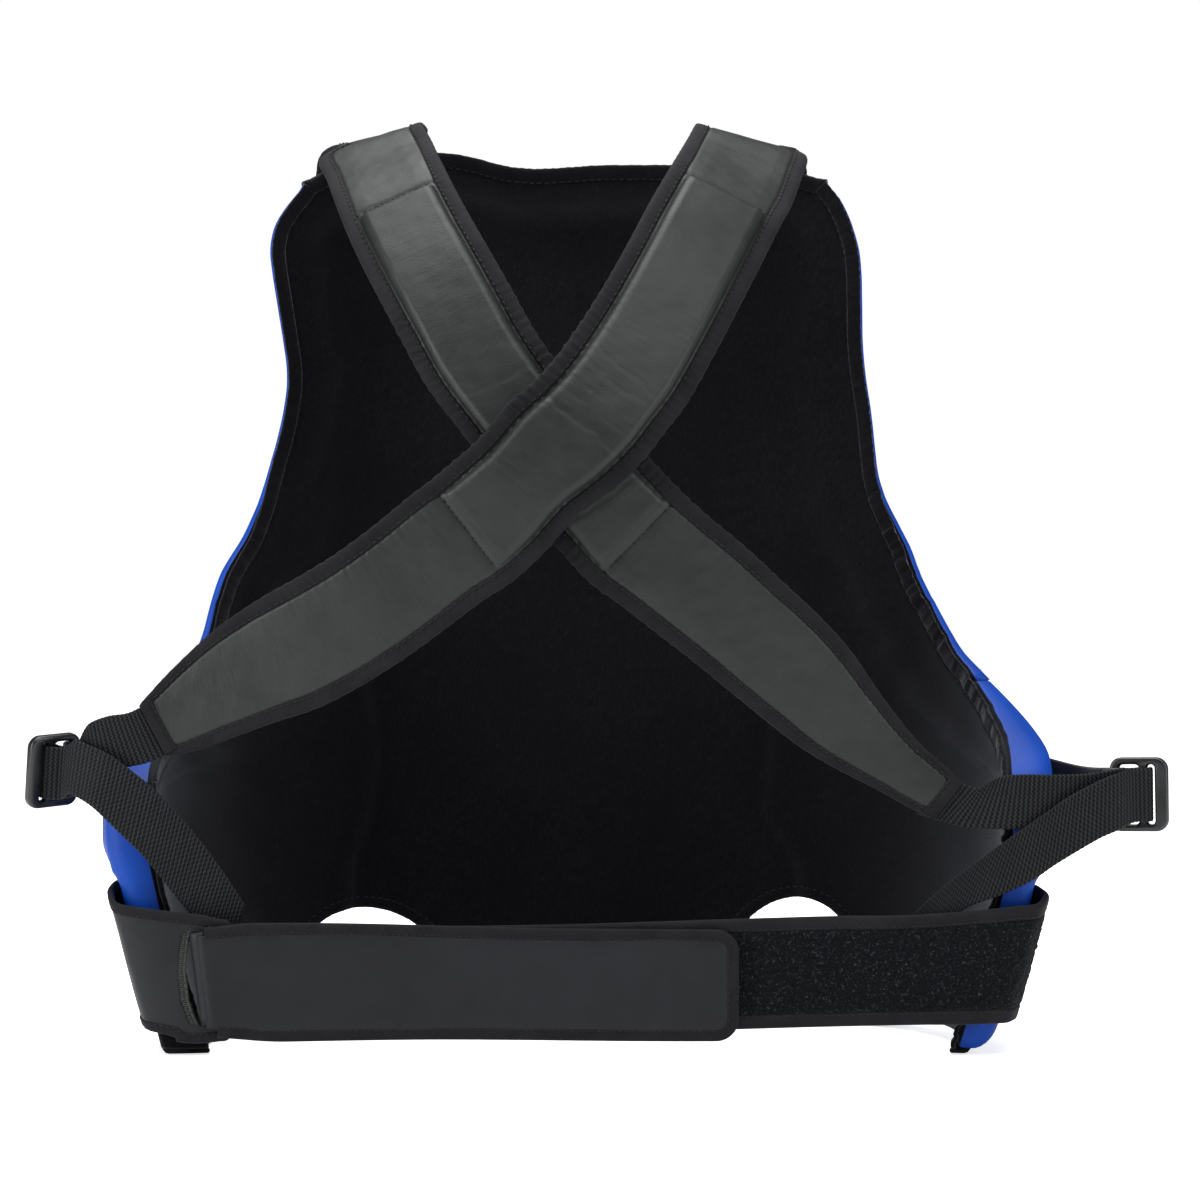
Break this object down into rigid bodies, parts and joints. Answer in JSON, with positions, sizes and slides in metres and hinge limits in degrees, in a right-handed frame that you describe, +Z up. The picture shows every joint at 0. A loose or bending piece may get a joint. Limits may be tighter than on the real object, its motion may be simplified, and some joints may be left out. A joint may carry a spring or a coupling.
{
  "type": "chest protector",
  "caption": "Martial-arts chest protector: padded wrap-round front shell, crossed padded shoulder straps with web adjusters, and a hook-and-loop waist belt.",
  "frame": {"origin": "centre of the outer box at floor level, between the feet of the two wings and the belly panel", "axes": "+Z up, the padded front faces -Y, the wearer's back and crossed straps face +Y, +X towards the wearer's left hand"},
  "size_m": [0.6194, 0.266, 0.5194],
  "materials": {
    "blue_leather": "smooth synthetic leather, semi-gloss, blue",
    "black_leather": "fine-grained synthetic leather, satin, near-black grey",
    "lining_cloth": "brushed black knit lining, matt",
    "foam": "closed-cell foam, matt dark grey",
    "binding_tape": "folded black binding tape with a stitch line",
    "webbing": "black woven webbing, 30 mm",
    "moulded_plastic": "black moulded plastic, semi-gloss",
    "loop_pile": "black loop pile",
    "hook_tape": "black hook tape"
  },
  "bodies": {
    "shell": {"chest_lining": "lining_cloth", "belly_lining": "lining_cloth", "wing_left_lining": "lining_cloth", "wing_right_lining": "lining_cloth", "chest_foam": "foam", "belly_foam": "foam", "wing_left_foam": "foam", "wing_right_foam": "foam", "chest_cover": "blue_leather", "belly_cover": "blue_leather", "wing_left_cover": "blue_leather", "wing_right_cover": "blue_leather", "armhole_band_left": "binding_tape", "armhole_band_right": "binding_tape", "neck_band": "binding_tape", "rear_band_left": "blue_leather", "rear_band_right": "blue_leather", "hip_band_left": "binding_tape", "hip_band_right": "binding_tape", "bottom_band_left": "binding_tape", "bottom_band_right": "binding_tape", "bottom_band_centre": "binding_tape", "strap_right_backing": "black_leather", "strap_right_foam": "foam", "strap_right_cover": "black_leather", "strap_right_binding_inner": "binding_tape", "strap_right_binding_outer": "binding_tape", "strap_left_backing": "black_leather", "strap_left_foam": "foam", "strap_left_cover": "black_leather", "strap_left_binding_inner": "binding_tape", "strap_left_binding_outer": "binding_tape", "web_left": "webbing", "tail_left": "webbing", "web_right": "webbing", "tail_right": "webbing", "anchor_tab_left": "black_leather", "anchor_tab_right": "black_leather", "belt_strap": "black_leather", "belt_loop_pile": "loop_pile", "belt_binding_lower": "binding_tape", "belt_binding_upper": "binding_tape", "belt_tab": "black_leather", "belt_tab_binding_lower": "binding_tape", "belt_tab_binding_upper": "binding_tape", "belt_fold": "black_leather"},
    "belt_end": {"belt_flap": "black_leather", "belt_flap_binding_lower": "binding_tape", "belt_flap_binding_upper": "binding_tape", "belt_hook_patch": "hook_tape"},
    "adjuster_left": {"buckle_left": "moulded_plastic"},
    "adjuster_right": {"buckle_right": "moulded_plastic"}
  },
  "joints": [
    {"name": "belt_flap_open", "type": "hinge", "parent": "shell", "child": "belt_end", "pos_m": [0.21501, 0.09684, 0.043], "axis": [0, 0, -1], "range_deg": [0, 110], "deforming": ["belt_fold"]},
    {"name": "left_adjuster_swing", "type": "hinge", "parent": "shell", "child": "adjuster_left", "pos_m": [0.28592, 0.05484, 0.1532], "axis": [-0.0836, 0.1801, 0.9801], "range_deg": [-20, 30], "deforming": ["web_left", "tail_left", "anchor_tab_left"]},
    {"name": "right_adjuster_swing", "type": "hinge", "parent": "shell", "child": "adjuster_right", "pos_m": [-0.28199, 0.05984, 0.1392], "axis": [0.0148, -0.0173, 0.9997], "range_deg": [-30, 20], "deforming": ["web_right", "tail_right", "anchor_tab_right"]}
  ]
}
